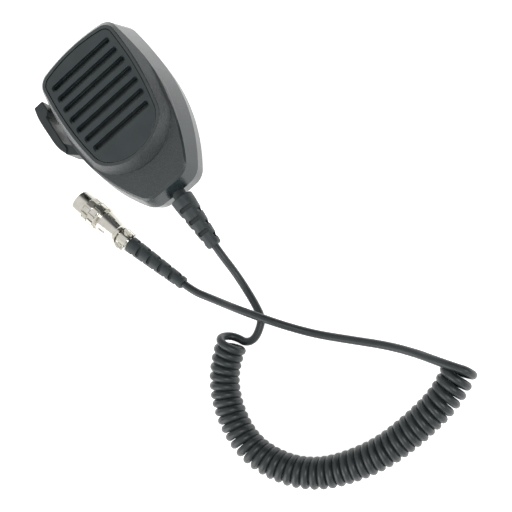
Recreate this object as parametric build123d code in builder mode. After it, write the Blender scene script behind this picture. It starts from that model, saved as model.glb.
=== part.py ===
"""A hand microphone with a curly cord and a round push-pull plug.

Millimetres. The origin is the centre of the hang button's flat face, with +Z out of the front
grille, +Y towards the top of the case and +X to the right of somebody who looks at the grille.
Everything stands on the plane z = 0: the hang button, the plug's flange, the coil and the cord.
"""

import os
from math import asin, cos, degrees, pi, radians, sin, tan

from build123d import *

# ---- case ----
BACK_Z = 8.0  # back face of the case, where the hang button is screwed on
SEAM_Z = 19.2  # parting line between the back and front shells
RIM_Z = 38.0  # highest edge, the rim round the grille
LEDGE_Z = 32.6  # flat shoulder that the grille's plateau rises from
WALL = 2.2
CASE = {  # the case's outline at the parting line; see outline() for how it is read
    "waist": (31.0, 3.1),
    "top": (44.8, 41.7, 1.0),
    "bottom": (-50.4, -50.0, 1.0),
    "side_r": (200.0, 88.0),
    "corner_r": (11.0, 10.0),
}
FRONT_DRAFT = 0.218  # how far the front shell's wall leans in for each millimetre of height
BACK_DRAFT = 0.145
BACK_EDGE_R = 4.0
SLOPE_START_Y = -20.0  # the lower front face falls away from here towards the cord
SLOPE = 0.156
FACE_EDGE = 0.8  # bevel round the lower front face

# ---- grille ----
PANEL = {
    "waist": (22.5, 15.0),
    "top": (36.9, 33.7, 1.0),
    "bottom": (-29.0, -19.5, 0.42),
    "side_r": (200.0, 160.0),
    "corner_r": (5.0, 12.0),
}
PANEL_GAP = 0.25
RIM_WIDTH = 1.8
PLATEAU_SPREAD = 5.6  # how much wider than its rim the plateau is at its foot
PLATEAU_SHIFT_Y = 2.4  # the foot sits further up the case, so the lower slope is the steep one
PLATEAU_FOOT_Z = 30.0
PANEL_Z = (36.2, 37.8)
GRILLE_WALL_Z = 34.2  # back of the case wall behind the panel
SLOT_PITCH = 6.81
SLOT_HEIGHT = 4.1
SLOT_CORNER_R = 1.3
SLOT_FLOOR_HEIGHT = 2.6  # a slot's full depth is kept to this height, at its upper edge
SLOT_LEDGE_DEPTH = 0.8  # the rest of the slot slopes up to the bar below it
SLOT_END_DRAFT = 0.7
TOP_SLOT_Y = 27.6
SLOT_HALF_LENGTHS = [19.5, 20.0, 20.4, 20.6, 20.2, 19.3, 17.9]
WINDOW_HEIGHT = 2.2
WINDOW_RISE = 0.85  # the window under a slot sits towards the slot's upper edge

# ---- screws and bosses ----
CASE_SCREWS = [(22.0, 24.0), (-22.0, 24.0), (15.0, -36.0), (-15.0, -36.0)]
BOSS_R = 3.9
POST_R = 3.1
SCREW_R = 1.25
THREAD_HOLE_R = 1.3
CLEAR_HOLE_R = 1.6
SCREW_HEAD_R = 2.6
HEAD_HOLE_R = 2.9
SCREW_SEAT_Z = 13.0

# ---- hang button ----
BUTTON_HEAD_R = 7.0
BUTTON_HEAD_H = 2.6
BUTTON_NECK_R = 4.2
BUTTON_FLANGE_R = 6.0
BUTTON_FLANGE_Z = 6.4

# ---- push-to-talk lever ----
HINGE = (-28.0, 2.0)
HINGE_PIN_R = 1.0
HUB_R = 2.6
RUNNING_GAP = 0.05
LEVER_Z = (12.4, 25.8)
LEVER_FACE = [(-37.9, 36.7), (-39.0, 30.0), (-38.9, 19.0), (-38.2, 9.6), (-35.8, 3.4)]  # outer side
ARM_Z = (13.6, 24.8)
POCKET_Z = (13.2, 25.2)
POCKET_Y = (-4.6, 8.6)
PIN_Z = (11.2, 27.2)
PLUNGER_Y = 33.2
PLUNGER_R = 1.6
PLUNGER_TIP_X = -31.75
PLUNGER_END_X = -19.0
COLLAR_X = (-25.3, -24.5)
RIB_X = (-21.0, -19.8)

# ---- inside ----
BOARD_Z = (24.0, 25.6)
BOARD_SIZE = (34.0, 61.0)
BOARD_Y = 6.5
BOARD_POSTS_Y = [33.0, -21.0]
CAPSULE_Y = 6.0
CAPSULE_R = 4.85
CORD_AXIS_Z = 18.0  # height of the cord's way out through the case

# ---- cord and its strain reliefs ----
CORD_R = 1.95
COIL_R = 7.5
NECK_R = 3.4
NECK_Y = -45.0  # the strain relief's flange starts here, inside the case
NECK_LENGTH = 9.0  # from the flange's inner face to the boot
FLANGE = (1.5, 4.2)  # thickness and radius of the flange
INNER_LENGTH = 7.0  # cord left inside the case
TIE_Y = -43.0
MIC_BOOT_LENGTH = 28.6
NOTCH_SPAN = 1.35  # a notch's length round the boot, over the boot's radius
NOTCH_PITCH = 3.55  # a boot's notches alternate between its sides and its top and bottom

# ---- plug ----
PLUG_NOSE = (-49.6, -12.8, 8.4)  # centre of the plug's open end
PLUG_HEADING = 15.2  # degrees from -Y towards +X
BOOT_HEADING = 19.4
PLUG_TILT = 3.5  # degrees down towards the cord
PLUG_BORE_R = 4.5
INSULATOR_START = 7.6  # the socket's nose reaches this far into the plug
INSULATOR_R = 4.7
CONTACT_R = 0.55
CONTACT_CIRCLE_R = 2.6
CONTACTS = [(0, 0)] + [
    (CONTACT_CIRCLE_R * cos(radians(a)), CONTACT_CIRCLE_R * sin(radians(a))) for a in range(0, 360, 72)
]

STANDING = (Align.CENTER, Align.CENTER, Align.MIN)  # a cylinder or box that stands on its place
HANGING = (Align.CENTER, Align.CENTER, Align.MAX)

os.makedirs("parts", exist_ok=True)


def save(builder, name):
    """Label a finished piece and write it to its own file."""
    builder.part.label = name
    export_step(builder.part, f"parts/{name}.step")


def box_between(low, high):
    """A box from its lowest to its highest corner, for the block that is open."""
    middle = Vector(*[(a + b) / 2 for a, b in zip(low, high)])
    with Locations(middle):
        return Box(*[b - a for a, b in zip(low, high)])


# ---------------------------------------------------------------- outlines


def outline(z, shape, grow=0.0, shift_y=0.0):
    """A face at height z, symmetric about x = 0, with bowed sides, ends and rounded corners.

    waist is where it is widest. top and bottom each hold the end's y on the centreline, the y of
    its corners, and how far a corner's y moves when the outline grows by one. The first side_r
    and corner_r are for the upper half and the second for the lower half.
    """
    half_width, waist_y = shape["waist"][0] + grow, shape["waist"][1] + shift_y
    with BuildSketch(Plane.XY.offset(z)) as face:
        with BuildLine():
            for end, side_r, up in zip(("top", "bottom"), shape["side_r"], (1, -1)):
                end_y, corner_y, lean = shape[end]
                rise = abs(corner_y + up * lean * grow - shape["waist"][1])
                sweep = degrees(asin(rise / (side_r + grow)))
                side = JernArc((half_width, waist_y), (0, up), side_r + grow, up * sweep)
                corner, middle = side @ 1, (0, end_y + up * grow + shift_y)
                ThreePointArc(corner, middle, (-corner.X, corner.Y))
                JernArc((-half_width, waist_y), (0, up), side_r + grow, -up * sweep)
        make_face()
        fillet(face.vertices().group_by(Axis.Y)[-1], shape["corner_r"][0] + grow)
        fillet(face.vertices().group_by(Axis.Y)[0], shape["corner_r"][1] + grow)
    return face.sketch


def case_outline(z, inset=0.0):
    return outline(z, CASE, -inset)


def panel_outline(z, grow=0.0, shift_y=0.0):
    return outline(z, PANEL, grow, shift_y)


def front_ceiling(drop):
    """Everything above the lower front face and the ledge, as a block to cut away."""
    top, far = RIM_Z + 10, 70
    with BuildPart() as above:
        with BuildSketch(Plane.YZ):
            with BuildLine():
                Polyline(
                    (-far, LEDGE_Z - drop + (-far - SLOPE_START_Y) * SLOPE),
                    (SLOPE_START_Y, LEDGE_Z - drop),
                    (far, LEDGE_Z - drop),
                    (far, top),
                    (-far, top),
                    close=True,
                )
            make_face()
        extrude(amount=far, both=True)
    return above.part


def side_openings():
    """The lever's pocket, the plunger's hole and the cord's hole, cut through both shells."""
    with BuildPart() as openings:
        box_between((-36, POCKET_Y[0], POCKET_Z[0]), (-25.2, POCKET_Y[1], POCKET_Z[1]))
        with Locations(Location((-28, PLUNGER_Y, SEAM_Z), (0, 90, 0))):
            Cylinder(PLUNGER_R + RUNNING_GAP, 8)
        with Locations(Location((0, -50.5, CORD_AXIS_Z), (90, 0, 0))):
            Cylinder(NECK_R + 0.1, 8)
    return openings.part


OPENINGS = side_openings()

# ---------------------------------------------------------------- front shell

TIP_INSET = FRONT_DRAFT * (RIM_Z - SEAM_Z)

with BuildPart() as plateau:
    foot = panel_outline(PLATEAU_FOOT_Z, RIM_WIDTH + PLATEAU_SPREAD, PLATEAU_SHIFT_Y)
    loft([foot, panel_outline(RIM_Z, RIM_WIDTH)], ruled=True)
    loft([case_outline(SEAM_Z), case_outline(RIM_Z, TIP_INSET)], ruled=True, mode=Mode.INTERSECT)
    fillet(plateau.faces().sort_by(Axis.Z)[-1].edges(), 0.7)

with BuildPart() as front_shell:
    loft([case_outline(SEAM_Z), case_outline(RIM_Z, TIP_INSET)], ruled=True)
    add(front_ceiling(0), mode=Mode.SUBTRACT)
    slope = front_shell.faces().filter_by(lambda f: -0.999 < -f.normal_at().Z < -0.95)
    edges = slope.edges().filter_by(lambda e: e.center().Y < SLOPE_START_Y - 0.1)
    chamfer(edges, FACE_EDGE)
    add(plateau.part)
    # hollow, leaving the wall, then the screw posts
    hollow_top = LEDGE_Z + 1
    hollow_inset = WALL + FRONT_DRAFT * (hollow_top - SEAM_Z)
    with BuildPart(mode=Mode.PRIVATE) as hollow:
        loft([case_outline(SEAM_Z, WALL), case_outline(hollow_top, hollow_inset)], ruled=True)
        add(front_ceiling(WALL), mode=Mode.SUBTRACT)
        extrude(panel_outline(LEDGE_Z - WALL - 1, -1.2), amount=GRILLE_WALL_Z - LEDGE_Z + WALL + 1)
    add(hollow.part, mode=Mode.SUBTRACT)
    with Locations([(x, y, SEAM_Z) for x, y in CASE_SCREWS[:2]]):
        Cylinder(POST_R, LEDGE_Z - 1.4 - SEAM_Z, align=STANDING)
    with Locations([(x, y, SEAM_Z) for x, y in CASE_SCREWS[2:]]):
        Cylinder(POST_R, 9.4, align=STANDING)
    with Locations([(0, y, BOARD_Z[1]) for y in BOARD_POSTS_Y]):
        Cylinder(2.0, GRILLE_WALL_Z - BOARD_Z[1], align=STANDING)
    with Locations([(0, y, BOARD_Z[1]) for y in BOARD_POSTS_Y]):
        Cylinder(0.9, 5, align=STANDING, mode=Mode.SUBTRACT)
    with Locations([(x, y, SEAM_Z) for x, y in CASE_SCREWS]):
        Cylinder(THREAD_HOLE_R, 7, align=STANDING, mode=Mode.SUBTRACT)
    # block that holds the hinge pin's front end
    box_between((-28.7, -1.5, POCKET_Z[1]), (-25.0, 5.5, 30.8))
    add(OPENINGS, mode=Mode.SUBTRACT)
    with Locations((*HINGE, POCKET_Z[1] - 0.5)):
        depth = PIN_Z[1] - POCKET_Z[1] + 0.5
        Cylinder(HINGE_PIN_R + 0.02, depth, align=STANDING, mode=Mode.SUBTRACT)
    # recess for the grille panel, with a small bevel, and the windows behind its slots
    extrude(panel_outline(PANEL_Z[0], PANEL_GAP), amount=RIM_Z - PANEL_Z[0] + 1, mode=Mode.SUBTRACT)
    for i, half in enumerate(SLOT_HALF_LENGTHS):
        y = TOP_SLOT_Y - i * SLOT_PITCH + WINDOW_RISE
        with BuildSketch(Plane.XY.offset(GRILLE_WALL_Z - 0.5)):
            with Locations((0, y)):
                RectangleRounded(2 * (half - SLOT_END_DRAFT), WINDOW_HEIGHT, 0.6)
        extrude(amount=PANEL_Z[0] - GRILLE_WALL_Z + 1, mode=Mode.SUBTRACT)
save(front_shell, "front_shell")

# ---------------------------------------------------------------- back shell

BACK_INSET = BACK_DRAFT * (SEAM_Z - BACK_Z)
FLOOR_Z = BACK_Z + WALL
GROOVE_Z = SEAM_Z - 0.8

with BuildPart() as back_shell:
    loft([case_outline(BACK_Z, BACK_INSET), case_outline(SEAM_Z)], ruled=True)
    fillet(back_shell.faces().sort_by(Axis.Z)[0].edges(), BACK_EDGE_R)
    with BuildPart(mode=Mode.PRIVATE) as hollow:
        low = case_outline(FLOOR_Z, BACK_DRAFT * (SEAM_Z - FLOOR_Z) + WALL + 1)
        loft([low, case_outline(SEAM_Z + 1, WALL)], ruled=True)
    add(hollow.part, mode=Mode.SUBTRACT)
    # screw bosses, the hang button's pad, the hinge pin's block and the plunger's guide rib
    with Locations([(x, y, FLOOR_Z - 1) for x, y in CASE_SCREWS]):
        Cylinder(BOSS_R, SEAM_Z - FLOOR_Z + 1, align=STANDING)
    with Locations((0, 0, FLOOR_Z - 1)):
        Cylinder(8, 2.8, align=STANDING)
    box_between((-28.7, -1.5, FLOOR_Z - 1), (-25.0, 5.5, POCKET_Z[0]))
    box_between((RIB_X[0], 29.6, FLOOR_Z - 1), (RIB_X[1], 36.6, 23.4))
    with Locations([(x, y, BACK_Z) for x, y in CASE_SCREWS]):
        Cylinder(CLEAR_HOLE_R, SEAM_Z, align=STANDING, mode=Mode.SUBTRACT)
        Cylinder(HEAD_HOLE_R, SCREW_SEAT_Z - BACK_Z, align=STANDING, mode=Mode.SUBTRACT)
    Cylinder(CLEAR_HOLE_R, 40, mode=Mode.SUBTRACT)
    with Locations((*HINGE, PIN_Z[0])):
        Cylinder(HINGE_PIN_R + 0.02, 10, align=STANDING, mode=Mode.SUBTRACT)
    with Locations(Location((-20, PLUNGER_Y, SEAM_Z), (0, 90, 0))):
        Cylinder(PLUNGER_R + 0.15, 6, mode=Mode.SUBTRACT)
    add(OPENINGS, mode=Mode.SUBTRACT)
    # groove for the seal
    groove = case_outline(GROOVE_Z, 0.7) - case_outline(GROOVE_Z, 1.5)
    extrude(groove, amount=1, mode=Mode.SUBTRACT)
save(back_shell, "back_shell")

with BuildPart() as case_seal:
    extrude(case_outline(GROOVE_Z, 0.75) - case_outline(GROOVE_Z, 1.45), amount=SEAM_Z - GROOVE_Z)
    add(OPENINGS, mode=Mode.SUBTRACT)
save(case_seal, "case_seal")

with BuildPart() as case_screws:
    with Locations([(x, y, SCREW_SEAT_Z) for x, y in CASE_SCREWS]):
        Cylinder(SCREW_R, 12, align=STANDING)
        Cylinder(SCREW_HEAD_R, 2, align=HANGING)
    fillet(case_screws.faces().group_by(Axis.Z)[0].edges(), 0.6)
    with Locations([(x, y, SCREW_SEAT_Z - 2) for x, y in CASE_SCREWS]):
        Box(2.8, 0.6, 1, align=STANDING, mode=Mode.SUBTRACT)
        Box(0.6, 2.8, 1, align=STANDING, mode=Mode.SUBTRACT)
save(case_screws, "case_screws")

# ---------------------------------------------------------------- hang button

with BuildPart() as hang_button:
    Cylinder(BUTTON_HEAD_R, BUTTON_HEAD_H, align=STANDING)
    fillet(hang_button.edges().filter_by(GeomType.CIRCLE), 0.4)
    Cylinder(BUTTON_NECK_R, BUTTON_FLANGE_Z, align=STANDING)
    with Locations((0, 0, BUTTON_FLANGE_Z)):
        Cylinder(BUTTON_FLANGE_R, BACK_Z - BUTTON_FLANGE_Z, align=STANDING)
    with Locations((0, 0, 1.8)):
        Cylinder(THREAD_HOLE_R, BACK_Z, align=STANDING, mode=Mode.SUBTRACT)
save(hang_button, "hang_button")

with BuildPart() as hang_button_screw:
    with Locations((0, 0, 12)):
        Cylinder(SCREW_HEAD_R, 2, align=STANDING)
        Cylinder(SCREW_R, 9.5, align=HANGING)
    fillet(hang_button_screw.faces().sort_by(Axis.Z)[-1].edges(), 0.6)
    with Locations((0, 0, 13.2)):
        Box(2.8, 0.6, 2, align=STANDING, mode=Mode.SUBTRACT)
        Box(0.6, 2.8, 2, align=STANDING, mode=Mode.SUBTRACT)
save(hang_button_screw, "hang_button_screw")

# ---------------------------------------------------------------- grille

with BuildPart() as grille_panel:
    extrude(panel_outline(PANEL_Z[0]), amount=PANEL_Z[1] - PANEL_Z[0])
    fillet(grille_panel.faces().sort_by(Axis.Z)[-1].edges(), 0.35)
    for i, half in enumerate(SLOT_HALF_LENGTHS):
        y = TOP_SLOT_Y - i * SLOT_PITCH
        rise = (SLOT_HEIGHT - SLOT_FLOOR_HEIGHT) / 2
        with BuildSketch(Plane.XY.offset(PANEL_Z[1] - SLOT_LEDGE_DEPTH)) as slot_throat:
            with Locations((0, y + rise)):
                RectangleRounded(2 * (half - SLOT_END_DRAFT), SLOT_FLOOR_HEIGHT, 1.0)
        with BuildSketch(Plane.XY.offset(PANEL_Z[1])) as slot_mouth:
            with Locations((0, y)):
                RectangleRounded(2 * half, SLOT_HEIGHT, SLOT_CORNER_R)
        loft([slot_throat.sketch, slot_mouth.sketch], ruled=True, mode=Mode.SUBTRACT)
        extrude(slot_throat.sketch, amount=-3, mode=Mode.SUBTRACT)
save(grille_panel, "grille_panel")

with BuildPart() as grille_cloth:
    with BuildSketch(Plane.XY.offset(GRILLE_WALL_Z - 0.6)):
        with Locations((0, 6.8)):
            RectangleRounded(41.4, 46.6, 8)
    extrude(amount=0.6)
    extrude(panel_outline(GRILLE_WALL_Z - 1, -1.6), amount=2, mode=Mode.INTERSECT)
save(grille_cloth, "grille_cloth")

# ---------------------------------------------------------------- capsule, board and switch

with BuildPart() as capsule_holder:
    with Locations((0, CAPSULE_Y, 27.5)):
        Cylinder(7.5, GRILLE_WALL_Z - 0.6 - 27.5, align=STANDING)
        Cylinder(CAPSULE_R + 0.03, 12, align=STANDING, mode=Mode.SUBTRACT)
    fillet(capsule_holder.faces().sort_by(Axis.Z)[0].edges().sort_by(Edge.length)[-1], 0.8)
save(capsule_holder, "capsule_holder")

with BuildPart() as capsule:
    with Locations((0, CAPSULE_Y, 28.4)):
        Cylinder(CAPSULE_R, 5, align=STANDING)
    fillet(capsule.edges().filter_by(GeomType.CIRCLE), 0.4)
save(capsule, "microphone_capsule")

with BuildPart() as capsule_leads:
    with Locations([(x, CAPSULE_Y, BOARD_Z[1]) for x in (-1.3, 1.3)]):
        Cylinder(0.3, 28.4 - BOARD_Z[1], align=STANDING)
save(capsule_leads, "capsule_leads")

with BuildPart() as circuit_board:
    with BuildSketch(Plane.XY.offset(BOARD_Z[0])):
        with Locations((0, BOARD_Y)):
            RectangleRounded(*BOARD_SIZE, 2)
        with Locations([(0, y) for y in BOARD_POSTS_Y]):
            Circle(1.2, mode=Mode.SUBTRACT)
    extrude(amount=BOARD_Z[1] - BOARD_Z[0])
save(circuit_board, "circuit_board")

with BuildPart() as board_screws:
    with Locations([(0, y, BOARD_Z[0]) for y in BOARD_POSTS_Y]):
        Cylinder(0.85, 6, align=STANDING)
        Cylinder(1.8, 1.3, align=HANGING)
    fillet(board_screws.faces().group_by(Axis.Z)[0].edges(), 0.4)
save(board_screws, "board_screws")

COMPONENTS = [  # x, y, width, length and height below the board
    (6.0, 4.0, 9.0, 9.0, 1.6),
    (-5.0, 12.0, 4.0, 6.0, 2.0),
    (8.0, 18.0, 5.0, 3.0, 1.4),
    (-8.0, -4.0, 3.2, 1.6, 1.0),
    (9.0, -9.0, 1.6, 3.2, 1.0),
    (11.0, 27.0, 6.0, 4.0, 2.4),
]
CAPACITORS = [(-9.0, 6.0), (3.0, 25.0)]
with BuildPart() as board_components:
    for x, y, width, length, height in COMPONENTS:
        with Locations((x, y, BOARD_Z[0] - height)):
            Box(width, length, height, align=STANDING)
    with Locations([(x, y, BOARD_Z[0]) for x, y in CAPACITORS]):
        Cylinder(2.5, 5, align=HANGING)
save(board_components, "board_components")

with BuildPart() as cord_connector:
    box_between((-5.5, -17.6, 19.6), (5.5, -12.6, BOARD_Z[0]))
    with Locations([(x, -17.6, 21.6) for x in (-3.75, -1.25, 1.25, 3.75)]):
        Box(1.6, 2.4, 1.6, mode=Mode.SUBTRACT)
save(cord_connector, "cord_connector")

with BuildPart() as ptt_switch:
    box_between((-15.9, 29.7, 15.6), (-9.4, 36.7, BOARD_Z[0]))
    fillet(ptt_switch.edges().filter_by(Axis.Z), 0.5)
    with Locations(Location((-15.9, PLUNGER_Y, SEAM_Z), (0, -90, 0))):
        Cylinder(1.4, 0.9, align=STANDING)
save(ptt_switch, "ptt_switch")

# ---------------------------------------------------------------- push-to-talk lever

with BuildPart() as ptt_lever:
    # the bar that the thumb presses, with the nose at its top that reaches into the case
    with BuildSketch(Plane.XY.offset(LEVER_Z[0])) as bar:
        with BuildLine():
            Spline(*LEVER_FACE)
            Polyline(
                LEVER_FACE[-1],
                (-33.9, 6.0),
                (-34.4, 12.0),
                (-34.5, 27.6),
                (-31.9, 30.0),
                (-31.9, 36.7),
                LEVER_FACE[0],
            )
        make_face()
        fillet(bar.vertices(), 0.9)
    extrude(amount=LEVER_Z[1] - LEVER_Z[0])
    fillet(ptt_lever.faces().filter_by(Axis.Z).edges(), 0.7)
    # the arm from the bar to the hinge
    with BuildSketch(Plane.XY.offset(ARM_Z[0])):
        with BuildLine():
            FilletPolyline(
                (-37.6, 9.2),
                (-36.2, 3.4),
                (-31.0, -1.4),
                (-27.4, -0.4),
                (-27.2, 3.2),
                (-30.6, 4.6),
                (-34.6, 9.4),
                radius=0.8,
                close=True,
            )
        make_face()
        with Locations(HINGE):
            Circle(HUB_R)
    extrude(amount=ARM_Z[1] - ARM_Z[0])
    with Locations((*HINGE, 0)):
        Cylinder(HINGE_PIN_R + RUNNING_GAP, 40, align=STANDING, mode=Mode.SUBTRACT)
save(ptt_lever, "ptt_lever")

with BuildPart() as hinge_pin:
    with Locations((*HINGE, PIN_Z[0])):
        Cylinder(HINGE_PIN_R, PIN_Z[1] - PIN_Z[0], align=STANDING)
    chamfer(hinge_pin.edges().filter_by(GeomType.CIRCLE), 0.2)
save(hinge_pin, "hinge_pin")

with BuildPart() as ptt_plunger:
    with BuildSketch(Plane(origin=(0, PLUNGER_Y, SEAM_Z), x_dir=(1, 0, 0), z_dir=(0, -1, 0))):
        with BuildLine():
            Line((PLUNGER_TIP_X, 0), (PLUNGER_END_X, 0))
            Polyline(
                (PLUNGER_END_X, 0),
                (PLUNGER_END_X, PLUNGER_R),
                (COLLAR_X[1], PLUNGER_R),
                (COLLAR_X[1], 2.6),
                (COLLAR_X[0], 2.6),
                (COLLAR_X[0], PLUNGER_R),
                (PLUNGER_TIP_X + 0.6, PLUNGER_R),
                (PLUNGER_TIP_X, 1.0),
                (PLUNGER_TIP_X, 0),
            )
        make_face()
    revolve(axis=Axis((0, PLUNGER_Y, SEAM_Z), (1, 0, 0)))
save(ptt_plunger, "ptt_plunger")

SPRING_R = 2.05
SPRING_WIRE_R = 0.18
SPRING_TURNS = 4
with BuildPart() as ptt_spring:
    spring_start = COLLAR_X[1] + SPRING_WIRE_R + 0.05
    spring_length = RIB_X[0] - spring_start - SPRING_WIRE_R - 0.05
    with BuildLine() as spring_line:
        Helix(
            spring_length / SPRING_TURNS,
            spring_length,
            SPRING_R,
            center=(spring_start, PLUNGER_Y, SEAM_Z),
            direction=(1, 0, 0),
        )
    wire = spring_line.wire()
    with BuildSketch(Plane(origin=wire @ 0, z_dir=wire % 0)):
        Circle(SPRING_WIRE_R)
    sweep(path=wire, is_frenet=True)
save(ptt_spring, "ptt_spring")

# ---------------------------------------------------------------- cord

MIC_TAIL = [  # from the microphone's strain relief to the coil's lower side
    (-1.1, -80.6, 11.6),
    (-1.3, -86.1, 10.3),
    (-2.1, -95.0, 4.6),
    (-2.8, -104.0, 2.1),
    (-3.2, -113.0, 2.0),
    (-4.3, -121.4, 2.0),
    (-10.4, -126.0, 2.0),
    (-14.6, -127.0, 2.0),
    (-18.0, -125.4, 2.0),
    (-19.5, -122.2, 2.0),
]
PLUG_TAIL = [  # from the plug's strain relief over the other tail to the coil's upper side
    (-27.74, -83.15, 3.89),
    (-25.4, -89.8, 3.45),
    (-21.0, -96.6, 2.0),
    (-15.4, -104.6, 4.6),
    (-9.0, -113.2, 9.8),
    (-0.6, -124.8, 9.9),
    (6.2, -134.2, 6.0),
    (14.0, -143.6, 2.1),
    (25.2, -154.4, 2.0),
    (38.0, -166.6, 2.3),
    (46.6, -176.6, 5.6),
    (51.6, -183.2, 10.8),
    (55.4, -188.3, 13.0),
    (58.4, -192.4, 13.1),
]
COIL_AXIS = [  # along the middle of the coil, from the microphone's end to the plug's
    (-19.4, -121.8, COIL_R),
    (-32.8, -129.4, COIL_R),
    (-42.6, -150.8, COIL_R),
    (-41.8, -173.3, COIL_R),
    (-24.8, -195.0, COIL_R),
    (4.7, -203.6, COIL_R),
    (30.0, -202.3, COIL_R),
    (50.0, -198.0, COIL_R),
    (59.0, -192.0, COIL_R),
]


def corner_radii(route):
    """The largest arc that fits at each corner of a route, with a tenth of each run to spare."""
    points = [Vector(*p) for p in route]
    radii = []
    for before, at, after in zip(points, points[1:], points[2:]):
        turn = (at - before).get_angle(after - at)
        shorter = min((at - before).length, (after - at).length)
        radii.append(0.45 * shorter / tan(radians(turn / 2)))
    return radii


def cord_piece(route, radius, name):
    """A round tube along a route, with its volume set against its section times its length."""
    radii = corner_radii(route)
    print(name, "radii", [round(r, 1) for r in radii])
    with BuildPart() as tube:
        with BuildLine() as path:
            FilletPolyline(*route, radius=radii)
        with BuildSketch(Plane(origin=path.wire() @ 0, z_dir=path.wire() % 0)):
            Circle(radius)
        sweep(path=path.wire())
    expected = pi * radius**2 * path.wire().length
    share = tube.part.volume / expected
    print(name, "length", round(path.wire().length, 1), "volume share", round(share, 4))
    save(tube, name)
    return tube.part


cord_piece(MIC_TAIL, CORD_R, "cord_microphone_end")
cord_piece(PLUG_TAIL, CORD_R, "cord_plug_end")
cord_piece(COIL_AXIS, COIL_R, "cord_coil")

# the cord's end inside the case, the tie that stops it pulling out, and its wires
with BuildPart() as cord_inner_end:
    with Locations(Location((0, NECK_Y, CORD_AXIS_Z), (-90, 0, 0))):
        Cylinder(CORD_R, INNER_LENGTH, align=STANDING)
save(cord_inner_end, "cord_inner_end")

with BuildPart() as cord_tie:
    with Locations(Location((0, TIE_Y, CORD_AXIS_Z), (-90, 0, 0))):
        Cylinder(2.9, 2.2, align=STANDING)
        Cylinder(CORD_R + 0.02, 9, mode=Mode.SUBTRACT)
    box_between((2.4, TIE_Y - 0.3, 16.4), (5.2, TIE_Y + 2.5, 19.6))
save(cord_tie, "cord_tie")

WIRE_R = 0.45
with BuildPart() as cord_wires:
    for side in (-3.75, -1.25, 1.25, 3.75):
        wire_start = (side * 0.32, NECK_Y + INNER_LENGTH, CORD_AXIS_Z)
        with BuildLine() as wire_path:
            FilletPolyline(
                wire_start,
                (side * 0.32, -34.4, CORD_AXIS_Z),
                (side, -26.0, 21.6),
                (side, -16.6, 21.6),
                radius=3,
            )
        with BuildSketch(Plane(origin=wire_path.wire() @ 0, z_dir=wire_path.wire() % 0)):
            Circle(WIRE_R)
        sweep(path=wire_path.wire())
save(cord_wires, "cord_wires")

# ---------------------------------------------------------------- turned pieces


def axis_plane(start, heading, tilt):
    """The plane across an axis: heading from -Y towards +X, tilt down, both in degrees."""
    along = Vector(
        sin(radians(heading)) * cos(radians(tilt)),
        -cos(radians(heading)) * cos(radians(tilt)),
        -sin(radians(tilt)),
    )
    level = Vector(cos(radians(heading)), sin(radians(heading)), 0)
    return Plane(origin=start, x_dir=level, z_dir=along)


def turned(plane, profile):
    """A face beside a plane's normal, to be turned about it: (along, radius) pairs."""
    section = Plane(origin=plane.origin, x_dir=plane.z_dir, z_dir=-plane.y_dir)
    with BuildSketch(section) as face:
        with BuildLine():
            Polyline(*profile, close=True)
        make_face()
    return face.sketch


def turn_axis(plane):
    return Axis(plane.origin, plane.z_dir)


def notches(plane, station, radius, depth, width, first_angle):
    """Two slots cut into opposite sides of a boot, with rounded ends, at one station along it."""
    with BuildPart() as cuts:
        for angle in (first_angle, first_angle + 180):
            outward = plane.x_dir.rotate(turn_axis(Plane(origin=(0, 0, 0), z_dir=plane.z_dir)), angle)
            middle = plane.offset(station + width / 2).origin + outward * (radius - depth)
            with BuildSketch(Plane(origin=middle, x_dir=plane.z_dir, z_dir=outward)):
                SlotOverall(NOTCH_SPAN * radius, width, rotation=90)
            extrude(amount=radius)
    return cuts.part


# the microphone's strain relief: a flange held inside the case, a neck, a collar and a boot
boot_end = Vector(*MIC_TAIL[0])
boot_run = (Vector(*MIC_TAIL[1]) - boot_end).normalized()
neck_plane = axis_plane((0, NECK_Y, CORD_AXIS_Z), 0, 0)
mic_plane = Plane(origin=boot_end - boot_run * MIC_BOOT_LENGTH, x_dir=(1, 0, 0), z_dir=boot_run)
with BuildPart() as microphone_boot:
    neck_profile = [
        (0, 0),
        (0, FLANGE[1]),
        FLANGE,
        (FLANGE[0], NECK_R),
        (NECK_LENGTH, NECK_R),
        (NECK_LENGTH, 0),
    ]
    revolve(turned(neck_plane, neck_profile), axis=turn_axis(neck_plane))
    mic_profile = [
        (0, 0),
        (0, 5.3),
        (0.5, 5.8),
        (4.0, 5.7),
        (MIC_BOOT_LENGTH - 0.6, 3.7),
        (MIC_BOOT_LENGTH, 3.1),
        (MIC_BOOT_LENGTH, 0),
    ]
    revolve(turned(mic_plane, mic_profile), axis=turn_axis(mic_plane))
    for i in range(6):
        station, angle = 5.2 + NOTCH_PITCH * i, 90 * ((i + 1) % 2)
        radius = 5.9 - 2.2 * station / MIC_BOOT_LENGTH
        add(notches(mic_plane, station, radius, 2.0, 2.4, angle), mode=Mode.SUBTRACT)
save(microphone_boot, "microphone_boot")

# ---------------------------------------------------------------- plug

plug_plane = axis_plane(PLUG_NOSE, PLUG_HEADING, PLUG_TILT)
plug_axis = turn_axis(plug_plane)

with BuildPart() as coupling_sleeve:
    sleeve_profile = [
        (0, 5.3),
        (0, 6.2),
        (0.3, 6.45),
        (6.6, 6.45),
        (6.9, 6.1),
        (15.9, 6.1),
        (16.1, 7.4),
        (17.2, 7.4),
        (17.2, 6.0),
        (9.0, 6.0),
        (9.0, 5.3),
    ]
    revolve(turned(plug_plane, sleeve_profile), axis=plug_axis)
    for station, turn in ((7.2, 0), (11.6, 15)):
        with BuildSketch(plug_plane.offset(station)):
            with PolarLocations(6.4, 12, start_angle=turn):
                Rectangle(0.68, 2.3)
        extrude(amount=3.7)
save(coupling_sleeve, "coupling_sleeve")

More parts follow.
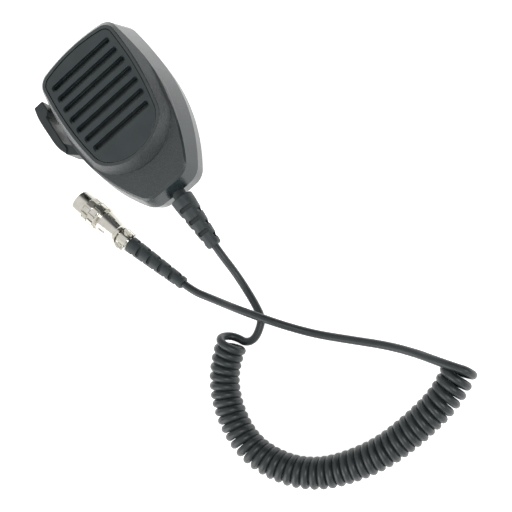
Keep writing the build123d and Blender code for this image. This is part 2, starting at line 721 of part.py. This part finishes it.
with BuildPart() as plug_barrel:
    barrel_profile = [
        (0.4, PLUG_BORE_R),
        (0.4, 5.2),
        (11.2, 5.2),
        (11.2, 5.9),
        (13.8, 5.9),
        (13.8, 5.0),
        (19.0, 5.0),
        (19.0, INSULATOR_R),
        (INSULATOR_START, INSULATOR_R),
        (INSULATOR_START, PLUG_BORE_R),
    ]
    revolve(turned(plug_plane, barrel_profile), axis=plug_axis)
save(plug_barrel, "plug_barrel")

with BuildPart() as plug_insulator:
    with BuildSketch(plug_plane.offset(INSULATOR_START)):
        Circle(INSULATOR_R - 0.03)
        with Locations(CONTACTS):
            Circle(CONTACT_R + 0.02, mode=Mode.SUBTRACT)
    extrude(amount=8)
save(plug_insulator, "plug_insulator")

with BuildPart() as plug_contacts:
    with BuildSketch(plug_plane.offset(INSULATOR_START + 0.2)):
        with Locations(CONTACTS):
            Circle(CONTACT_R)
    extrude(amount=9.8)
    with BuildSketch(plug_plane.offset(INSULATOR_START + 0.2)):
        with Locations(CONTACTS):
            Circle(0.32)
    extrude(amount=5, mode=Mode.SUBTRACT)
save(plug_contacts, "plug_contacts")

SHELL_END = 30.6
with BuildPart() as plug_backshell:
    shell_profile = [
        (13.9, 5.06),
        (13.9, 5.9),
        (18.5, 5.9),
        (18.5, 6.3),
        (18.7, 6.5),
        (28.6, 5.35),
        (29.0, 4.9),
        (29.3, 4.9),
        (29.5, 5.2),
        (SHELL_END, 5.2),
        (SHELL_END, 2.2),
        (28.0, 2.2),
        (26.0, 4.0),
        (19.2, 4.0),
        (19.2, 5.06),
    ]
    revolve(turned(plug_plane, shell_profile), axis=plug_axis)
    with BuildSketch(plug_plane.offset(19.5)):
        with PolarLocations(7.15, 4, start_angle=35):
            Rectangle(2.6, 1.5)
    extrude(amount=7.2, mode=Mode.SUBTRACT)
    # neck that the cable clamp squeezes
    with BuildSketch(plug_plane.offset(SHELL_END)):
        Circle(3.0)
        Circle(2.2, mode=Mode.SUBTRACT)
    extrude(amount=7.0)
save(plug_backshell, "plug_backshell")

CLAMP_START = SHELL_END + 0.6
CLAMP_LENGTH = 5.4
CLAMP_HUMP_R = 4.3
CLAMP_GAP = 0.3
LUG_TOP = 2.4
CLAMP_SCREW_X = 4.0
clamp_middle = plug_plane.offset(CLAMP_START + CLAMP_LENGTH / 2)
clamp_up = -plug_plane.y_dir if plug_plane.y_dir.Z < 0 else plug_plane.y_dir
with BuildPart() as cable_clamp:
    # two saddles, each a hump over the neck with a lug at each side
    for side in (1, -1):
        with BuildSketch(plug_plane.offset(CLAMP_START)):
            Circle(CLAMP_HUMP_R)
            Rectangle(10.6, 2 * LUG_TOP)
            with Locations((0, -side * (6 - CLAMP_GAP))):
                Rectangle(12, 12, mode=Mode.SUBTRACT)
            Circle(3.05, mode=Mode.SUBTRACT)
        extrude(amount=CLAMP_LENGTH)
    for offset_x in (-CLAMP_SCREW_X, CLAMP_SCREW_X):
        hole_start = clamp_middle.from_local_coords((offset_x, 0, 0))
        with BuildSketch(Plane(origin=hole_start, z_dir=clamp_up)):
            Circle(0.92)
        extrude(amount=12, both=True, mode=Mode.SUBTRACT)
        # flat seat for the screw's head, cut into the hump
        with BuildSketch(Plane(origin=hole_start + clamp_up * LUG_TOP, z_dir=clamp_up)):
            Circle(1.5)
        extrude(amount=3, mode=Mode.SUBTRACT)
save(cable_clamp, "cable_clamp")

with BuildPart() as clamp_screws:
    for offset_x in (-CLAMP_SCREW_X, CLAMP_SCREW_X):
        seat = clamp_middle.from_local_coords((offset_x, 0, 0)) + clamp_up * LUG_TOP
        top = Plane(origin=seat, z_dir=clamp_up)
        with BuildSketch(top):
            Circle(1.45)
        extrude(amount=1.2)
        with BuildSketch(top):
            Circle(0.9)
        extrude(amount=-2 * LUG_TOP)
        with BuildSketch(top.offset(0.7)):
            Rectangle(3, 0.5)
        extrude(amount=1, mode=Mode.SUBTRACT)
save(clamp_screws, "clamp_screws")

BOOT_START = SHELL_END + 7.0
boot_origin = plug_plane.offset(BOOT_START).origin
plug_boot_plane = axis_plane(boot_origin, BOOT_HEADING, PLUG_TILT)
plug_boot_length = (Vector(*PLUG_TAIL[0]) - boot_origin).length
with BuildPart() as plug_boot:
    boot_profile = [
        (0, 0),
        (0, 3.9),
        (0.5, 4.4),
        (4.0, 4.3),
        (plug_boot_length - 0.5, 3.2),
        (plug_boot_length, 2.7),
        (plug_boot_length, 0),
    ]
    revolve(turned(plug_boot_plane, boot_profile), axis=turn_axis(plug_boot_plane))
    for i in range(9):
        station, angle = 3.3 + NOTCH_PITCH * i, 90 * (i % 2)
        radius = 4.5 - 1.25 * station / plug_boot_length
        add(notches(plug_boot_plane, station, radius, 1.4, 2.1, angle), mode=Mode.SUBTRACT)
save(plug_boot, "plug_boot")
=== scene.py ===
"""Looks of the hand microphone: its cord, its materials, and the floor, lights and camera around it.

Everything is in metres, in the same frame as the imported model. Shader textures read the object
coordinates, which are those same metres, so a texture's scale is one over its size.
"""

from math import cos, exp, pi, radians, sin

import bpy
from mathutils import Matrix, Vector


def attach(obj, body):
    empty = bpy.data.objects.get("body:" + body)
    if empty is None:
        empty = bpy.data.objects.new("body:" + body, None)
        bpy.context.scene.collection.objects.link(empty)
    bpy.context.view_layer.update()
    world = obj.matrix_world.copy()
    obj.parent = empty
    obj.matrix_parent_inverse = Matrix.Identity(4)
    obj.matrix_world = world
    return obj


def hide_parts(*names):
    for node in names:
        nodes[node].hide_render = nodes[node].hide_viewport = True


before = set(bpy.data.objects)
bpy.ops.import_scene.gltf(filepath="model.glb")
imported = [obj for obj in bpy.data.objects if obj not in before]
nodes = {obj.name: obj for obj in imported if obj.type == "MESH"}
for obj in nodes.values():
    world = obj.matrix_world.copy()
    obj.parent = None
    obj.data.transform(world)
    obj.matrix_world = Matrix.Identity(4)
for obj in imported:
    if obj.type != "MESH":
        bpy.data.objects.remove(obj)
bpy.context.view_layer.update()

# ---------------------------------------------------------------- camera


def make_camera():
    """Looks down on the microphone from the photograph's angle, with the picture rolled."""
    data = bpy.data.cameras.new("camera")
    data.sensor_width = 36.0
    data.lens = 53.72
    camera = bpy.data.objects.new("camera", data)
    camera.location = (0.0940, -0.2040, 0.3466)
    camera.rotation_euler = (radians(6.447), radians(20.84), radians(-35.035))
    bpy.context.scene.collection.objects.link(camera)
    bpy.context.scene.camera = camera


make_camera()

# ---------------------------------------------------------------- cord

CORD_DIAMETER = 0.0039
COIL_RADIUS = 0.0075
WIND_RADIUS = COIL_RADIUS - CORD_DIAMETER / 2
TURNS = 44.5  # it starts under the coil and ends over it
POINTS_PER_TURN = 12
FAN = 0.55  # how far the turns spread on the outside of a bend
OPENING = 0.55  # how much wider apart the first and last turns are
OPENING_LENGTH = 0.006  # distance from an end over which that extra spacing fades
FIRST_LEAN = 0.0023  # how far the first turns lean along the coil
LEAN_TURNS = 1.6  # turns over which the lean and the swell fade
AXIS_STEPS = 40  # steps that the coil's axis is read in, for each of its spans
CORD_STEPS = 8
END_SWELL = 0.0006  # how much larger the first and last turns are

MIC_TAIL = [
    (-0.0011, -0.0806, 0.0116),
    (-0.0013, -0.0861, 0.0103),
    (-0.0021, -0.0950, 0.0046),
    (-0.0028, -0.1040, 0.0021),
    (-0.0032, -0.1130, 0.0020),
    (-0.0043, -0.1214, 0.0020),
    (-0.0104, -0.1260, 0.0020),
    (-0.0146, -0.1270, 0.0020),
    (-0.0180, -0.1254, 0.0020),
    (-0.0195, -0.1222, 0.0020),
]
PLUG_TAIL = [
    (-0.02774, -0.08315, 0.00389),
    (-0.0254, -0.0898, 0.00345),
    (-0.0210, -0.0966, 0.0020),
    (-0.0154, -0.1046, 0.0046),
    (-0.0090, -0.1132, 0.0098),
    (-0.0006, -0.1248, 0.0099),
    (0.0062, -0.1342, 0.0060),
    (0.0140, -0.1436, 0.0021),
    (0.0252, -0.1544, 0.0020),
    (0.0380, -0.1666, 0.0023),
    (0.0466, -0.1766, 0.0056),
    (0.0516, -0.1832, 0.0108),
    (0.0554, -0.1883, 0.0130),
    (0.0584, -0.1924, 0.0131),
]
COIL_AXIS = [
    (-0.0194, -0.1218, COIL_RADIUS),
    (-0.0328, -0.1294, COIL_RADIUS),
    (-0.0426, -0.1508, COIL_RADIUS),
    (-0.0418, -0.1733, COIL_RADIUS),
    (-0.0248, -0.1950, COIL_RADIUS),
    (0.0047, -0.2036, COIL_RADIUS),
    (0.0300, -0.2023, COIL_RADIUS),
    (0.0500, -0.1980, COIL_RADIUS),
    (0.0590, -0.1920, COIL_RADIUS),
]


def smooth_curve(name, points, resolution):
    """A NURBS curve of order 3 with these control points."""
    curve = bpy.data.curves.new(name, "CURVE")
    curve.dimensions = "3D"
    curve.resolution_u = resolution
    spline = curve.splines.new("NURBS")
    spline.points.add(len(points) - 1)
    for point, place in zip(spline.points, points):
        point.co = (*place, 1.0)
    spline.order_u = 3
    spline.use_endpoint_u = True
    return bpy.data.objects.new(name, curve)


def line_of(curve):
    """The places that a curve without a bevel runs through."""
    mesh = bpy.data.meshes.new_from_object(curve)
    line = [v.co.copy() for v in mesh.vertices]
    bpy.data.meshes.remove(mesh)
    bpy.data.objects.remove(curve)
    return line


def coil_turns():
    """Control points of the left-handed winding, worked out along the coil's axis."""
    line = line_of(smooth_curve("coil_axis", COIL_AXIS, AXIS_STEPS))
    steps = [b - a for a, b in zip(line, line[1:])]
    total = sum(step.length for step in steps)
    wound, travelled = [0.0], 0.0
    for before, step in zip([steps[0], *steps], steps):
        bend = before.cross(step).z / (before.length * step.length)
        ends = exp(-travelled / OPENING_LENGTH) + exp((travelled - total) / OPENING_LENGTH)
        inner_share = step.length - FAN * WIND_RADIUS * abs(bend)
        wound.append(wound[-1] + inner_share / (1 + OPENING * ends))
        travelled += step.length
    points = []
    count = int(TURNS * POINTS_PER_TURN)
    at = 0
    for i in range(1, count):
        turn = i / POINTS_PER_TURN
        goal = wound[-1] * i / count
        while at < len(steps) - 1 and wound[at + 1] < goal:
            at += 1
        along = steps[at].normalized()
        part = (goal - wound[at]) / (wound[at + 1] - wound[at])
        outward = along.cross(Vector((0, 0, 1)))
        angle = 2 * pi * turn
        first = exp(-turn / LEAN_TURNS)
        last = exp((turn - TURNS) / LEAN_TURNS)
        swell = END_SWELL * (first + last)
        place = line[at] + steps[at] * part + along * FIRST_LEAN * first * (1 - cos(angle)) / 2
        place.z += swell
        ring = sin(angle) * outward - cos(angle) * Vector((0, 0, 1))
        points.append(place + (WIND_RADIUS + swell) * ring)
    return points


def make_cord():
    route = [*MIC_TAIL, *coil_turns(), *reversed(PLUG_TAIL)]
    cord = smooth_curve("curly_cord", route, CORD_STEPS)
    cord.data.bevel_depth = 1.0  # so a point's radius is the cord's own radius
    for point in cord.data.splines[0].points:
        point.radius = CORD_DIAMETER / 2
    cord.data.bevel_resolution = 5
    cord.data.use_fill_caps = True
    bpy.context.scene.collection.objects.link(cord)
    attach(cord, "root")
    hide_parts("cord_microphone_end", "cord_coil", "cord_plug_end")
    return cord


cord = make_cord()

# ---------------------------------------------------------------- shader helpers


class Shader:
    """A material with a Principled surface and a few short ways to add nodes to it."""

    def __init__(self, name, roughness, metallic=0.0, specular=0.5, coat=0.0, sheen=0.0):
        self.material = bpy.data.materials.new(name)
        self.material.use_nodes = True
        self.tree = self.material.node_tree
        self.surface = self.tree.nodes["Principled BSDF"]
        self.surface.inputs["Roughness"].default_value = roughness
        self.surface.inputs["Metallic"].default_value = metallic
        self.surface.inputs["Specular IOR Level"].default_value = specular
        self.surface.inputs["Coat Weight"].default_value = coat
        self.surface.inputs["Sheen Weight"].default_value = sheen
        coordinates = self.tree.nodes.new("ShaderNodeTexCoord")
        self.place = coordinates.outputs["Object"]
        self.normal = coordinates.outputs["Normal"]

    def node(self, kind, inputs, output=0, **settings):
        """Add a node; inputs maps socket names or numbers to a value or another socket."""
        made = self.tree.nodes.new(kind)
        for key, value in settings.items():
            setattr(made, key, value)
        for key, value in inputs.items():
            if isinstance(value, bpy.types.NodeSocket):
                self.tree.links.new(value, made.inputs[key])
            else:
                made.inputs[key].default_value = value
        return made.outputs[output]

    def noise(self, size, detail=2.0, roughness=0.5, stretch=(1, 1, 1)):
        """Noise whose features are about size metres, wider along the axes that are stretched."""
        squeeze = [1 / s for s in stretch]
        place = self.node("ShaderNodeVectorMath", {0: self.place, 1: squeeze}, operation="MULTIPLY")
        inputs = {"Vector": place, "Scale": 1 / size, "Detail": detail, "Roughness": roughness}
        return self.node("ShaderNodeTexNoise", inputs)

    def cells(self, size):
        """Rounded cells about size metres across."""
        inputs = {"Vector": self.place, "Scale": 1 / size, "Smoothness": 0.3}
        return self.node("ShaderNodeTexVoronoi", inputs, feature="SMOOTH_F1")

    def math(self, operation, a, b=0.0):
        return self.node("ShaderNodeMath", {0: a, 1: b}, operation=operation)

    def span(self, value, low, high, to_low=0.0, to_high=1.0):
        """value taken from low..high to to_low..to_high, smoothly and held at the ends."""
        inputs = {0: value, 1: low, 2: high, 3: to_low, 4: to_high}
        return self.node("ShaderNodeMapRange", inputs, interpolation_type="SMOOTHSTEP")

    def blend(self, factor, a, b):
        """Colour a where factor is 0 and b where it is 1."""
        made = self.tree.nodes.new("ShaderNodeMix")
        made.data_type = "RGBA"
        for socket, value in ((made.inputs[0], factor), (made.inputs[6], a), (made.inputs[7], b)):
            if isinstance(value, bpy.types.NodeSocket):
                self.tree.links.new(value, socket)
            else:
                socket.default_value = value if isinstance(value, float) else (*value, 1.0)
        return made.outputs[2]

    def axis(self, number, vector=None):
        """One coordinate of a vector: 0 is x, 1 is y and 2 is z."""
        return self.node("ShaderNodeSeparateXYZ", {0: vector or self.place}, output=number)

    def edges(self, radius):
        """1 on sharp outer and inner edges, falling to 0 about radius away from them."""
        rounded = self.node("ShaderNodeBevel", {"Radius": radius}, samples=4)
        flat = self.node("ShaderNodeNewGeometry", {}, output="Normal")
        facing = self.node("ShaderNodeVectorMath", {0: rounded, 1: flat}, "Value", operation="DOT_PRODUCT")
        return self.span(facing, 0.995, 0.9)

    def crevice_shade(self, reach):
        """1 deep in slots, notches and inner corners, and 0 on open surfaces; the materials paint shade
        there with it.
        """
        open_sky = self.node("ShaderNodeAmbientOcclusion", {"Distance": reach}, "AO", samples=6)
        return self.span(open_sky, 0.75, 0.25)

    def bump(self, height, depth):
        """Relief depth metres high where height goes from 0 to 1."""
        return self.node("ShaderNodeBump", {"Height": height, "Distance": depth, "Strength": 1.0})

    def set(self, name, socket):
        self.tree.links.new(socket, self.surface.inputs[name])


# ---------------------------------------------------------------- materials


# where the case's grained zones begin and end, as heights or places along the case
FACE_BOTTOM_Z = (0.0262, 0.0268)
FACE_TOP_Z = (0.0345, 0.0335)
PLATEAU_FOOT_Z = (0.0300, 0.0315)
SLOPE_Y = (0.010, -0.018)


def case_plastic():
    """Charcoal moulding: satin sides, a leather grain on the lower front face, edges painted lighter as wear
    and as a painted highlight, and a painted sparkle on the grain's peaks.
    """
    s = Shader("case_plastic", 0.3, specular=0.7)
    height, along = s.axis(2), s.axis(1)
    up = s.axis(2, s.normal)
    face = s.math("MULTIPLY", s.span(up, 0.95, 0.975), s.span(height, *FACE_BOTTOM_Z))
    face = s.math("MULTIPLY", face, s.span(height, *FACE_TOP_Z))
    slope = s.math("MULTIPLY", s.span(up, 0.93, 0.85), s.span(height, *PLATEAU_FOOT_Z))
    leather = s.cells(0.00075)
    fine = s.noise(0.00032, 2.0, 0.6)
    grain = s.math("ADD", s.math("MULTIPLY", leather, 0.8), s.math("MULTIPLY", fine, 0.6))
    textured = s.math("MAXIMUM", face, s.math("MULTIPLY", slope, s.span(along, *SLOPE_Y)))
    relief = s.math("MULTIPLY", grain, s.span(textured, 0.0, 1.0, 0.10, 1.0))
    patches = s.noise(0.009, 3.0, 0.6)
    # edges painted lighter: partly wear, partly a painted highlight along the edges
    wear_and_highlight = s.math("MULTIPLY", s.edges(0.0005), s.span(s.noise(0.0035, 3.0), 0.4, 0.7))
    # painted sparkle: the grain's peaks are painted lighter, as if they caught the light
    painted_sparkle = s.math("MULTIPLY", s.span(fine, 0.52, 0.70), textured)
    base = s.blend(s.span(patches, 0.35, 0.65), (0.013, 0.020, 0.021), (0.018, 0.026, 0.028))
    base = s.blend(s.math("MULTIPLY", textured, 0.5), base, (0.009, 0.012, 0.013))
    base = s.blend(s.math("MULTIPLY", painted_sparkle, 0.5), base, (0.085, 0.095, 0.100))
    base = s.blend(s.math("MULTIPLY", wear_and_highlight, 0.5), base, (0.12, 0.135, 0.14))
    s.set("Base Color", base)
    s.set("Roughness", s.span(textured, 0.0, 1.0, 0.27, 0.40))
    s.set("Normal", s.bump(relief, 0.00016))
    return s.material


def panel_plastic():
    """The grille insert: smoother and a little lighter, with the finest spark erosion texture, its edges
    painted lighter as wear and as a painted highlight, and painted shade deep in its slots.
    """
    s = Shader("panel_plastic", 0.45)
    fine = s.noise(0.00022, 2.0, 0.6)
    patches = s.noise(0.012, 3.0)
    # edges painted lighter: partly wear, partly a painted highlight along the edges
    wear_and_highlight = s.math("MULTIPLY", s.edges(0.00035), s.span(s.noise(0.003, 3.0), 0.35, 0.7))
    base = s.blend(s.span(patches, 0.35, 0.65), (0.014, 0.022, 0.024), (0.019, 0.028, 0.030))
    base = s.blend(s.math("MULTIPLY", wear_and_highlight, 0.6), base, (0.13, 0.145, 0.15))
    # painted shade: slots and inner corners darkened where shade falls
    base = s.blend(s.math("MULTIPLY", s.crevice_shade(0.002), 0.7), base, (0.003, 0.004, 0.004))
    s.set("Base Color", base)
    s.set("Roughness", s.span(patches, 0.3, 0.7, 0.34, 0.42))
    s.set("Normal", s.bump(fine, 0.00002))
    return s.material


def lever_plastic():
    """Dark smooth moulding of the lever and the hang button, its edges painted lighter, partly as rubbing
    wear and partly as a painted highlight.
    """
    s = Shader("lever_plastic", 0.4)
    fine = s.noise(0.00025, 2.0, 0.6)
    patches = s.noise(0.006, 3.0)
    # edges painted lighter: partly rubbing wear, partly a painted highlight along the edges
    wear_and_highlight = s.math("MULTIPLY", s.edges(0.0005), s.span(s.noise(0.002, 3.0), 0.35, 0.7))
    base = s.blend(s.span(patches, 0.35, 0.65), (0.010, 0.015, 0.016), (0.015, 0.021, 0.022))
    base = s.blend(s.math("MULTIPLY", wear_and_highlight, 0.5), base, (0.09, 0.1, 0.1))
    s.set("Base Color", base)
    s.set("Roughness", s.span(patches, 0.3, 0.7, 0.36, 0.48))
    s.set("Normal", s.bump(fine, 0.00002))
    return s.material


def cord_jacket():
    """Satin jacket of the cord: dull patches, a fine bumpy grain and a little dust."""
    s = Shader("cord_jacket", 0.4, sheen=0.05)
    patches = s.noise(0.004, 4.0, 0.6)
    fine = s.noise(0.0003, 2.0, 0.6)
    dust = s.span(s.noise(0.0009, 4.0, 0.7), 0.62, 0.78)
    base = s.blend(s.span(patches, 0.3, 0.7), (0.008, 0.013, 0.014), (0.014, 0.020, 0.022))
    base = s.blend(s.math("MULTIPLY", dust, 0.25), base, (0.09, 0.1, 0.1))
    s.set("Base Color", base)
    s.set("Roughness", s.span(patches, 0.3, 0.7, 0.36, 0.46))
    s.set("Normal", s.bump(fine, 0.00002))
    return s.material


def boot_rubber(name, dark, light):
    """Moulded rubber: matt, with a mottled surface, edges painted lighter as rubbing wear and as a painted
    highlight, and painted shade deep in its notches.
    """
    s = Shader(name, 0.5, sheen=0.05)
    patches = s.noise(0.003, 4.0, 0.6)
    fine = s.noise(0.0003, 3.0, 0.6)
    # edges painted lighter: partly rubbing wear, partly a painted highlight along the edges
    wear_and_highlight = s.edges(0.0004)
    base = s.blend(s.span(patches, 0.3, 0.7), dark, light)
    base = s.blend(s.math("MULTIPLY", wear_and_highlight, 0.3), base, [3 * c for c in light])
    # painted shade: notches and inner corners darkened where shade falls
    base = s.blend(s.math("MULTIPLY", s.crevice_shade(0.0025), 0.85), base, (0.002, 0.003, 0.003))
    s.set("Base Color", base)
    s.set("Roughness", s.span(patches, 0.3, 0.7, 0.45, 0.58))
    s.set("Normal", s.bump(fine, 0.00003))
    return s.material


def speaker_cloth():
    """Black open weave behind the slots, its threads over and under one another."""
    s = Shader("speaker_cloth", 0.9, sheen=0.1)
    pitch = 0.0006
    x, y = s.axis(0), s.axis(1)
    warp = s.math("SINE", s.math("MULTIPLY", x, 2 * pi / pitch))
    weft = s.math("SINE", s.math("MULTIPLY", y, 2 * pi / pitch))
    weave = s.math("MULTIPLY", warp, weft)
    mottle = s.noise(0.0012, 3.0, 0.7)
    height = s.math("ADD", weave, s.math("MULTIPLY", mottle, 1.5))
    s.set("Base Color", s.blend(s.span(height, -0.4, 1.6), (0.003, 0.003, 0.004), (0.024, 0.026, 0.027)))
    s.set("Normal", s.bump(height, 0.00012))
    return s.material


def metal(name, colour, dull, roughness, spread, scratch):
    """Metal with uneven plating, a few darker stains and fine scratches that catch the light."""
    s = Shader(name, roughness, metallic=1.0)
    patches = s.noise(0.004, 4.0, 0.6)
    lines = s.noise(0.0006, 3.0, 0.7, stretch=(1, 6, 1))
    stain = s.span(s.noise(0.0016, 4.0, 0.7), 0.6, 0.75)
    base = s.blend(s.span(patches, 0.35, 0.65), colour, dull)
    s.set("Base Color", s.blend(s.math("MULTIPLY", stain, 0.3), base, [0.5 * c for c in dull]))
    s.set("Roughness", s.span(patches, 0.3, 0.7, roughness, roughness + spread))
    s.set("Normal", s.bump(lines, scratch))
    return s.material


def moulded(name, dark, light, roughness):
    """Plain moulded or coated part: slightly mottled, with edges painted lighter, partly as wear and partly
    as a painted highlight.
    """
    s = Shader(name, roughness)
    patches = s.noise(0.002, 4.0, 0.6)
    fine = s.noise(0.0003, 2.0)
    base = s.blend(s.span(patches, 0.3, 0.7), dark, light)
    # edges painted lighter: partly wear, partly a painted highlight along the edges
    base = s.blend(s.math("MULTIPLY", s.edges(0.0002), 0.3), base, [min(1.0, 1.8 * c) for c in light])
    s.set("Base Color", base)
    s.set("Roughness", s.span(fine, 0.3, 0.7, roughness, roughness + 0.12))
    s.set("Normal", s.bump(fine, 0.00003))
    return s.material


def solder_mask():
    """Green lacquer over copper tracks that run in right-angled bundles."""
    s = Shader("solder_mask", 0.3, coat=0.3)
    pitch = 0.0013
    x, y = s.axis(0), s.axis(1)
    bend = s.span(s.noise(0.012, 1.0, 0.3), 0.47, 0.5, 0.0, 1.0)
    across = s.math("SINE", s.math("MULTIPLY", x, 2 * pi / pitch))
    down = s.math("SINE", s.math("MULTIPLY", y, 2 * pi / pitch))
    lines = s.math(
        "ADD",
        s.math("MULTIPLY", across, bend),
        s.math("MULTIPLY", down, s.math("SUBTRACT", 1.0, bend)),
    )
    track = s.span(lines, 0.2, 0.5)
    s.set("Base Color", s.blend(track, (0.006, 0.05, 0.022), (0.014, 0.12, 0.05)))
    s.set("Normal", s.bump(track, 0.00004))
    return s.material


def floor_paper():
    """Pale matt paper with the faintest tooth, and a glow that keeps it white in the picture."""
    s = Shader("floor_paper", 0.9, specular=0.1)
    tooth = s.noise(0.0012, 3.0, 0.6)
    s.set("Base Color", s.blend(tooth, (0.90, 0.90, 0.90), (0.93, 0.93, 0.93)))
    s.set("Normal", s.bump(tooth, 0.00001))
    s.surface.inputs["Emission Color"].default_value = (1, 1, 1, 1)
    s.surface.inputs["Emission Strength"].default_value = FLOOR_GLOW
    return s.material


JACKET = cord_jacket()
MATERIALS = {
    "cord_jacket": (JACKET, ["cord_inner_end", "cord_microphone_end", "cord_plug_end", "cord_coil"]),
    "case_plastic": (case_plastic(), ["front_shell", "back_shell"]),
    "panel_plastic": (panel_plastic(), ["grille_panel"]),
    "lever_plastic": (lever_plastic(), ["ptt_lever", "hang_button"]),
    "boot_rubber": (
        boot_rubber("boot_rubber", (0.014, 0.021, 0.023), (0.021, 0.029, 0.032)),
        ["microphone_boot", "plug_boot"],
    ),
    "black_rubber": (
        boot_rubber("black_rubber", (0.010, 0.010, 0.010), (0.016, 0.016, 0.016)),
        ["case_seal", "capsule_holder"],
    ),
    "speaker_cloth": (speaker_cloth(), ["grille_cloth"]),
    "nickel": (
        metal("nickel", (0.68, 0.665, 0.61), (0.62, 0.60, 0.54), 0.12, 0.08, 0.000002),
        ["coupling_sleeve", "plug_barrel", "plug_backshell", "cable_clamp", "clamp_screws"],
    ),
    "zinc_steel": (
        metal("zinc_steel", (0.52, 0.53, 0.55), (0.44, 0.45, 0.46), 0.3, 0.15, 0.00001),
        ["case_screws", "hang_button_screw", "board_screws", "hinge_pin", "capsule_leads"],
    ),
    "spring_wire": (
        metal("spring_wire", (0.6, 0.6, 0.6), (0.48, 0.48, 0.49), 0.25, 0.1, 0.00001),
        ["ptt_spring"],
    ),
    "aluminium": (
        metal("aluminium", (0.78, 0.78, 0.79), (0.70, 0.70, 0.71), 0.35, 0.1, 0.00001),
        ["microphone_capsule"],
    ),
    "contact_gold": (
        metal("contact_gold", (0.83, 0.62, 0.27), (0.75, 0.55, 0.22), 0.2, 0.1, 0.000005),
        ["plug_contacts"],
    ),
    "insulator": (moulded("insulator", (0.012, 0.012, 0.012), (0.02, 0.02, 0.02), 0.3), ["plug_insulator"]),
    "component": (
        moulded("component", (0.012, 0.013, 0.014), (0.022, 0.023, 0.025), 0.4),
        ["board_components", "ptt_switch", "ptt_plunger"],
    ),
    "nylon": (moulded("nylon", (0.60, 0.59, 0.54), (0.70, 0.69, 0.64), 0.4), ["cord_connector", "cord_tie"]),
    "wire_cover": (moulded("wire_cover", (0.32, 0.03, 0.02), (0.42, 0.05, 0.03), 0.35), ["cord_wires"]),
    "solder_mask": (solder_mask(), ["circuit_board"]),
}
for material, names in MATERIALS.values():
    for name in names:
        nodes[name].data.materials.clear()
        nodes[name].data.materials.append(material)
cord.data.materials.append(JACKET)

# ---------------------------------------------------------------- floor, lights and world

FLOOR_HALF = 2.0
AIM = Vector((0.0, -0.09, 0.02))  # near the middle of the object
CARD_DIRECTION = (0.94, 0.25, 0.22)
CARD_EDGE = (0.55, 0.85)  # cosines of the card's outer and inner edge
TENT_LEVEL = 0.9
CARD_LEVEL = 0.02
FLOOR_GLOW = 0.8


def make_floor():
    """A wide square floor for the object to stand on."""
    half = FLOOR_HALF
    mesh = bpy.data.meshes.new("floor")
    corners = [(-half, -half, 0), (half, -half, 0), (half, half, 0), (-half, half, 0)]
    mesh.from_pydata(corners, [], [(0, 1, 2, 3)])
    mesh.materials.append(floor_paper())
    floor = bpy.data.objects.new("floor", mesh)
    bpy.context.scene.collection.objects.link(floor)


def soft_box(name, place, size, power):
    """A square white area light that faces the middle of the object."""
    data = bpy.data.lights.new(name, "AREA")
    data.size = size
    data.energy = power
    light = bpy.data.objects.new(name, data)
    light.location = place
    light.rotation_euler = (AIM - Vector(place)).to_track_quat("-Z", "Y").to_euler()
    bpy.context.scene.collection.objects.link(light)


def make_world():
    """A pale light tent with a black card low on the right, which the plug and rim mirror."""
    world = bpy.data.worlds.new("studio")
    world.use_nodes = True
    bpy.context.scene.world = world
    tree = world.node_tree
    coordinates = tree.nodes.new("ShaderNodeTexCoord")
    towards_card = tree.nodes.new("ShaderNodeVectorMath")
    towards_card.operation = "DOT_PRODUCT"
    towards_card.inputs[1].default_value = CARD_DIRECTION
    tree.links.new(coordinates.outputs["Generated"], towards_card.inputs[0])
    level = tree.nodes.new("ShaderNodeMapRange")
    level.interpolation_type = "SMOOTHSTEP"
    tree.links.new(towards_card.outputs["Value"], level.inputs[0])
    for number, limit in enumerate((*CARD_EDGE, TENT_LEVEL, CARD_LEVEL), 1):
        level.inputs[number].default_value = limit
    background = tree.nodes["Background"]
    background.inputs["Color"].default_value = (1, 1, 1, 1)
    tree.links.new(level.outputs[0], background.inputs["Strength"])


bpy.context.scene.view_settings.view_transform = "Standard"
make_floor()
make_world()
soft_box("left_light", (-0.80, -0.30, 0.42), 0.7, 4.5)
soft_box("front_light", (0.42, -0.50, 0.75), 0.22, 2.5)
